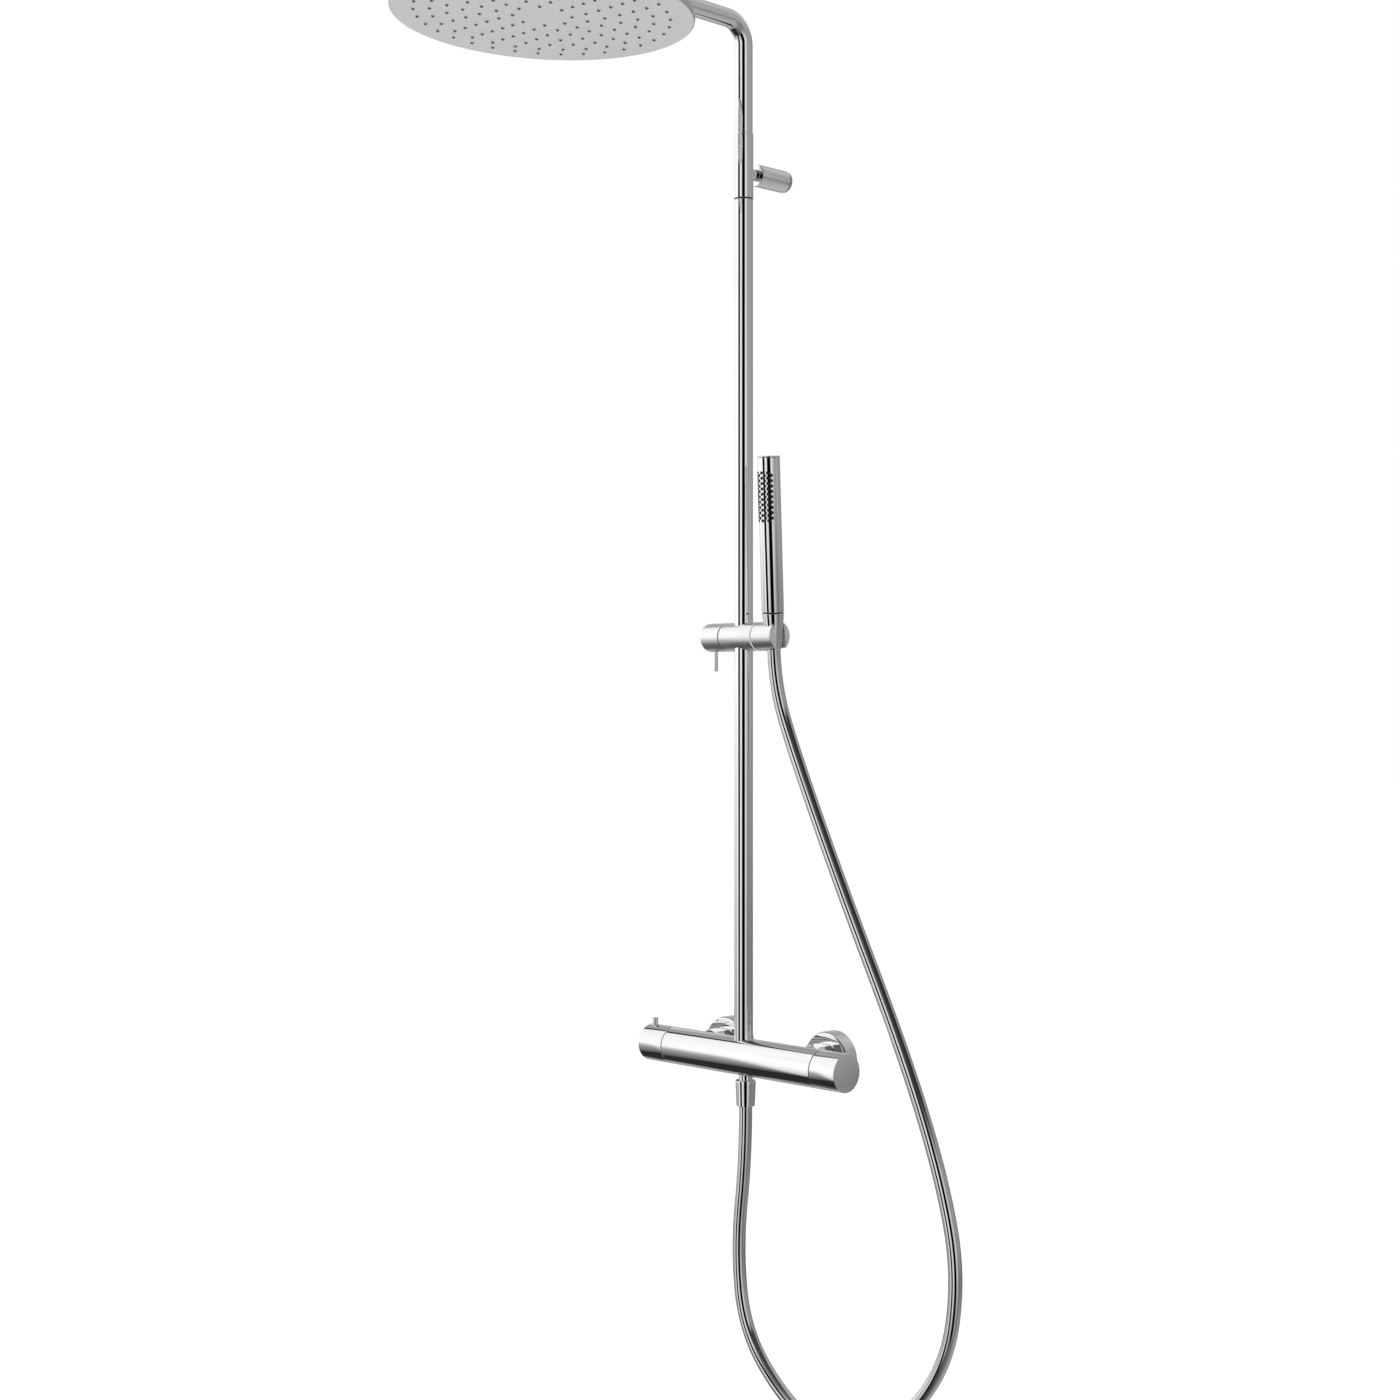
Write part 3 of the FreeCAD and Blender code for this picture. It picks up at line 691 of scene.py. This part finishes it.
def make_handset():
    """Outlines in millimetres along the handset's axis, measured from the seam above the cone."""
    foot = -CONE_LENGTH
    shape = [(4.3, foot), (7.6, foot), (cone_radius(-37.4), -37.4)]
    shape += [(cone_radius(-0.4), -0.4), (11.2, 0), (8.0, 0)]
    cone = turned("cone_skin", [rounded(shape, 0.4)], SEAM, LEAN, CHROME, 128)
    swap(cone, "handset", "hose_cone")
    shape = rounded([(8.0, 0), (10.9, 0), (10.9, 1.4), (8.0, 1.4)], 0.1)
    swap(turned("seam_skin", [shape], SEAM, LEAN, BLACK, 96), "handset", "handset_seam_ring")
    bore, r, top = HAND_BORE, HAND_RADIUS, HAND_LENGTH
    shape = rounded([(bore, 1.4), (r, 1.4), (r, 162), (bore, 162)], 0.3)
    swap(turned("handset_skin", [shape], SEAM, LEAN, CHROME, 160), "handset", "handset_body")
    shape = rounded([(bore, 158), (bore, 162.1), (r, 162.1), (r, top), (0, top)], 0.5)
    swap(turned("cap_skin", [shape], SEAM, LEAN, CHROME, 128), "handset", "handset_end_cap")

    bm = bmesh.new()
    columns, turn, pitch = 7, 18, 5.5
    nub = [(1.9, -0.1), (1.8, 0.15), (1.5, 0.4), (1.0, 0.8), (0.4, 0.8), (0.35, 0.3), (0, 0.3)]
    for column in range(columns):
        a = math.radians(-90 + turn * (column - columns // 2))
        outward = Vector((math.cos(a), math.sin(a), 0))
        odd = column % 2
        for row in range(10 if odd else 9):
            t = HAND_LENGTH - 17.0 - pitch * (row + (0 if odd else 0.5))
            spot = stand(SEAM, LEAN) @ stand((Z * t + outward * 11.5) * MM, outward)
            lathe_into(bm, [(p[0] * MM, p[1] * MM) for p in nub], spot, 16)
    nubs = link_mesh("handset_nubs", finish_mesh(bm, "handset_nubs"), BLACK)
    swap(nubs, "handset", "handset_nozzles")


def make_hose_nut():
    low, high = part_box("hose_nut")
    x = (low.x + high.x) / 2
    top, foot = high.z / MM, low.z / MM
    shape = [(8.3, top - 4), (8.3, top), (10.75, top), (10.75, top - 3)]
    shape += [(9.8, foot + 1.6), (9.8, foot), (7.05, foot)]
    nut = turned("hose_nut_skin", [rounded(shape, 0.5, 5)], (x, AXIS_Y, 0), Z, CHROME, 128)
    swap(nut, "column", "hose_nut")
    shape = [(7.3, -18.0), (7.3, top - 2)]
    neck = turned("outlet_neck_skin", [shape], (x, AXIS_Y, 0), Z, CHROME, 96)
    swap(neck, "column", "outlet_nipple")


# ------------------------------------------------------------------ carried-over CAD pieces
def dress_cad_nodes():
    """Every CAD node gets its finish. Those that a piece replaces don't show."""
    for name, node in frame["nodes"].items():
        mesh = node.data
        mesh.materials.clear()
        mesh.materials.append(FINISHES[SLOT_OF[name]])
        shade_smooth(mesh, 28.0)


# ------------------------------------------------------------------ studio
FLOOR_BELOW = 0.55           # metres from the lowest point of the CAD down to the floor


def make_floor():
    bm = bmesh.new()
    bmesh.ops.create_grid(bm, x_segments=8, y_segments=8, size=30)
    bm.transform(Matrix.Translation((0, 0, cad_low.z - FLOOR_BELOW)))
    m = Nodes("pale_floor")
    coords = m.add("ShaderNodeTexCoord").outputs["Object"]
    m.link(m.ramp(m.noise(coords, 3.0), [(0.3, 0.90), (0.7, 0.93)]), m.shader.inputs["Base Color"])
    m.shader.inputs["Roughness"].default_value = 0.9
    m.shader.inputs["Emission Color"].default_value = (1, 1, 1, 1)
    m.shader.inputs["Emission Strength"].default_value = 0.62
    floor = link_mesh("floor", finish_mesh(bm, "floor"), m.material)
    floor.visible_glossy = False


def world_light():
    """Five bands of light and dark panels round the object. The camera itself sees plain white.

    Each band is a ramp of (degrees round from the side that faces the eye, brightness).
    """
    world = bpy.data.worlds.new("studio")
    scene.world = world
    world.use_nodes = True
    tree = world.node_tree
    tree.nodes.clear()

    def add(kind, **values):
        node = tree.nodes.new(kind)
        for key, value in values.items():
            setattr(node, key, value)
        return node

    def link(source, target):
        tree.links.new(source, target)

    def along(vector):
        node = add("ShaderNodeVectorMath", operation="DOT_PRODUCT")
        node.inputs[1].default_value = vector
        link(direction, node.inputs[0])
        return node.outputs["Value"]

    def ramp(factor, stops):
        node = add("ShaderNodeValToRGB")
        fill_ramp(node.color_ramp, [(degrees / 360 + 0.5, level) for degrees, level in stops])
        link(factor, node.inputs["Fac"])
        return node.outputs["Color"]

    def mixed(factor, a, b):
        node = add("ShaderNodeMix", data_type="RGBA")
        link(factor, node.inputs["Factor"])
        link(a, node.inputs["A"])
        link(b, node.inputs["B"])
        return node.outputs["Result"]

    def step(low, high):
        node = add("ShaderNodeMapRange", interpolation_type="LINEAR")
        node.inputs["From Min"].default_value = low
        node.inputs["From Max"].default_value = high
        link(height, node.inputs["Value"])
        return node.outputs["Result"]

    direction = add("ShaderNodeTexCoord").outputs["Generated"]
    height = along(Z)
    turn = add("ShaderNodeMath", operation="ARCTAN2")
    link(along(EYE_RIGHT), turn.inputs[0])
    link(along(TO_EYE), turn.inputs[1])
    part = add("ShaderNodeMath", operation="MULTIPLY_ADD")
    part.inputs[1].default_value = 1 / (2 * math.pi)
    part.inputs[2].default_value = 0.5
    link(turn.outputs["Value"], part.inputs[0])
    around = part.outputs["Value"]

    upper = ramp(around, [
        (-180, 0.32), (-150, 0.42), (-146, 0.03), (-139, 0.03), (-136, 1.0), (-100, 1.12), (-60, 0.9),
        (-40, 0.25), (15, 0.05), (78, 0.03), (88, 0.40), (130, 0.60), (179, 0.32),
    ])
    middle = ramp(around, [
        (-180, 0.42), (-166, 1.0), (-73, 1.2), (-70, 0.002), (-48, 0.002), (-45, 1.0), (-23, 0.85),
        (-20, 0.0), (12, 0.0), (18, 0.95), (32, 0.72), (42, 0.50), (55, 0.37), (67, 0.33), (82, 0.45),
        (99, 0.35), (120, 0.32), (160, 0.30), (168, 0.45), (179, 0.55),
    ])
    low = ramp(around, [
        (-180, 0.26), (-166, 0.30), (-160, 0.03), (-146, 0.04), (-138, 0.50), (-91, 0.46), (-86, 1.0),
        (-73, 1.05), (-70, 0.0), (-48, 0.0), (-45, 0.95), (-23, 0.70), (-20, 0.0), (12, 0.0), (18, 0.85),
        (34, 0.48), (50, 0.24), (62, 0.18), (78, 0.27), (92, 0.26), (112, 0.16), (150, 0.25), (179, 0.26),
    ])
    deep = ramp(around, [
        (-180, 0.35), (-166, 0.45), (-150, 0.25), (-91, 0.18), (-86, 0.70), (-73, 0.70), (-70, 0.0),
        (-48, 0.0), (-45, 0.60), (-23, 0.40), (-20, 0.0), (12, 0.0), (18, 0.50), (34, 0.30), (55, 0.22),
        (82, 0.38), (150, 0.45), (179, 0.45),
    ])
    ground = ramp(around, [
        (-180, 0.55), (-160, 0.36), (-150, 0.03), (-60, 0.02), (40, 0.25), (82, 0.42), (179, 0.55),
    ])
    # Each step is where one band gives way to the next, as the sine of the height above level.
    colour = mixed(step(0.36, 0.50), middle, upper)
    colour = mixed(step(0.00, -0.22), colour, low)
    colour = mixed(step(-0.22, -0.47), colour, deep)
    colour = mixed(step(-0.50, -0.60), colour, ground)

    studio = add("ShaderNodeBackground")
    link(colour, studio.inputs["Color"])
    studio.inputs["Strength"].default_value = 1.0
    paper = add("ShaderNodeBackground")
    paper.inputs["Color"].default_value = (1, 1, 1, 1)
    seen = add("ShaderNodeLightPath").outputs["Is Camera Ray"]
    choose = add("ShaderNodeMixShader")
    link(seen, choose.inputs["Fac"])
    link(studio.outputs["Background"], choose.inputs[1])
    link(paper.outputs["Background"], choose.inputs[2])
    link(choose.outputs["Shader"], add("ShaderNodeOutputWorld").inputs["Surface"])


def soft_light(name, place, aim, size, power):
    data = bpy.data.lights.new(name, "AREA")
    data.shape = "SQUARE"
    data.size = size
    data.energy = power
    lamp = bpy.data.objects.new(name, data)
    lamp.location = place
    lamp.rotation_mode = "QUATERNION"
    lamp.rotation_quaternion = (Vector(aim) - Vector(place)).to_track_quat("-Z", "Y")
    lamp.visible_glossy = False
    scene.collection.objects.link(lamp)


make_camera()
make_hose()
dress_cad_nodes()
make_mixer()
make_knobs()
make_escutcheons()
make_riser()
make_bracket()
make_arm()
make_head()
make_slider()
make_holder()
make_handset()
make_hose_nut()
make_floor()
world_light()
soft_light("key", (-2.2, -2.6, 2.4), (0, -0.1, 0.4), 1.6, 30)
soft_light("fill", (2.8, -1.6, 1.2), (0, -0.1, 0.4), 1.6, 14)
scene.view_settings.view_transform = "Standard"
